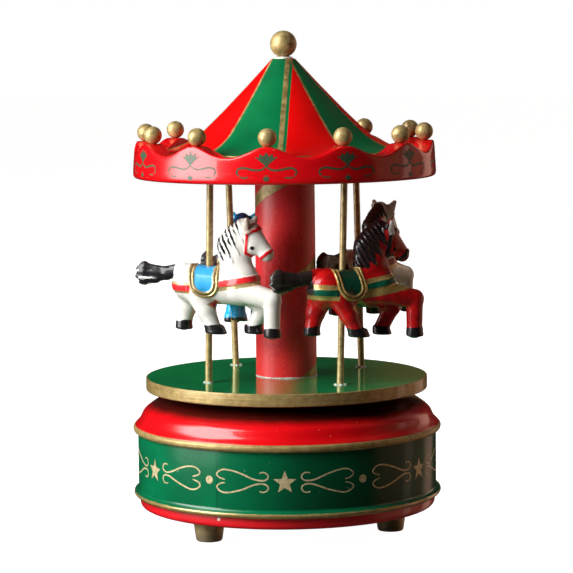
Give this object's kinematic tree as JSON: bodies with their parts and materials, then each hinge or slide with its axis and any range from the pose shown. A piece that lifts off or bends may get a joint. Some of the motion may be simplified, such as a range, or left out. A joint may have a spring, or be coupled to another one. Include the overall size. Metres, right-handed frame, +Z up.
{
  "type": "carousel music box",
  "caption": "Round lacquered music box whose turntable carries a striped column, horses on poles and a scalloped canopy with a ball-topped cone roof.",
  "frame": {"origin": "centre of the base at floor level, on the axis the carousel turns about", "axes": "+Z up along the carousel's axis; -Y towards the front, where the white horse stands left and the red horse right"},
  "size_m": [0.11, 0.11, 0.177],
  "materials": {
    "red_lacquer_wood": "gloss red lacquer on wood",
    "gold_paint_wood": "metallic gold paint on turned wood",
    "green_lacquer_wood": "gloss green lacquer on wood",
    "striped_lacquer_wood": "red and green lacquer with gold lines on turned wood",
    "column_paint_wood": "satin red paint on turned wood with a gold ribbon",
    "pole_gold": "gold-painted brass rod",
    "white_horse_paint": "hand-painted cast resin",
    "red_horse_paint": "hand-painted cast resin",
    "cream_horse_paint": "hand-painted cast resin",
    "blue_horse_paint": "hand-painted cast resin",
    "fibreboard": "raw fibreboard",
    "felt": "pressed felt",
    "movement_brass": "brushed brass",
    "movement_steel": "ground steel"
  },
  "bodies": {
    "base": {"bottom_board": "red_lacquer_wood", "lower_moulding": "gold_paint_wood", "drum_wall": "green_lacquer_wood", "upper_moulding": "gold_paint_wood", "shoulder_board": "red_lacquer_wood", "foot_1": "gold_paint_wood", "foot_2": "gold_paint_wood", "foot_3": "gold_paint_wood", "bottom_cover": "fibreboard", "bottom_cover_screws": "movement_steel", "thrust_washer": "felt", "bedplate": "movement_brass", "bedplate_screws": "movement_steel", "spring_barrel": "movement_brass", "mainspring": "movement_steel", "comb": "movement_steel", "comb_screws": "movement_steel", "governor_frame": "movement_brass", "governor_screw": "movement_steel"},
    "carousel": {"turntable": "green_lacquer_wood", "column": "column_paint_wood", "pole_1": "pole_gold", "pole_2": "pole_gold", "pole_3": "pole_gold", "pole_4": "pole_gold", "white_horse": "white_horse_paint", "red_horse": "red_horse_paint", "cream_horse": "cream_horse_paint", "blue_horse": "blue_horse_paint", "canopy_rim": "red_lacquer_wood", "roof_cone": "striped_lacquer_wood", "finial": "gold_paint_wood", "rim_ball_01": "gold_paint_wood", "rim_ball_02": "gold_paint_wood", "rim_ball_03": "gold_paint_wood", "rim_ball_04": "gold_paint_wood", "rim_ball_05": "gold_paint_wood", "rim_ball_06": "gold_paint_wood", "rim_ball_07": "gold_paint_wood", "rim_ball_08": "gold_paint_wood", "rim_ball_09": "gold_paint_wood", "rim_ball_10": "gold_paint_wood", "rim_ball_11": "gold_paint_wood", "rim_ball_12": "gold_paint_wood", "drive_hub": "movement_steel", "hub_screws": "movement_steel", "arbor": "movement_steel", "ratchet_wheel": "movement_steel"},
    "drive_wheel": {"crown_wheel": "movement_brass", "click": "movement_steel"},
    "cylinder": {"pin_cylinder": "movement_brass", "cylinder_pinion": "movement_brass", "cylinder_gear": "movement_brass", "cylinder_shaft": "movement_steel"},
    "second_wheel": {"worm_wheel": "movement_brass", "transfer_pinion": "movement_steel"},
    "governor": {"fan_worm": "movement_steel"}
  },
  "joints": [
    {"name": "carousel_spin", "type": "hinge", "parent": "base", "child": "carousel", "pos_m": [0, 0, 0.0501], "axis": [0, 0, 1], "continuous": true},
    {"name": "drive_wheel_spin", "type": "hinge", "parent": "base", "child": "drive_wheel", "pos_m": [0, 0, 0.037], "axis": [0, 0, 1], "continuous": true},
    {"name": "cylinder_spin", "type": "hinge", "parent": "base", "child": "cylinder", "pos_m": [0.0236, 0, 0.0296], "axis": [1, 0, 0], "continuous": true},
    {"name": "second_wheel_spin", "type": "hinge", "parent": "base", "child": "second_wheel", "pos_m": [0.0376, -0.0105, 0.0296], "axis": [1, 0, 0], "continuous": true},
    {"name": "governor_spin", "type": "hinge", "parent": "base", "child": "governor", "pos_m": [0.0376, -0.0181, 0.0296], "axis": [0, 0, 1], "continuous": true}
  ],
  "couplings": [
    {"joint": "drive_wheel_spin", "follows": "carousel_spin", "ratio": 1},
    {"joint": "cylinder_spin", "follows": "carousel_spin", "ratio": -2.1429},
    {"joint": "second_wheel_spin", "follows": "carousel_spin", "ratio": 6.8571},
    {"joint": "governor_spin", "follows": "carousel_spin", "ratio": 164.57}
  ]
}
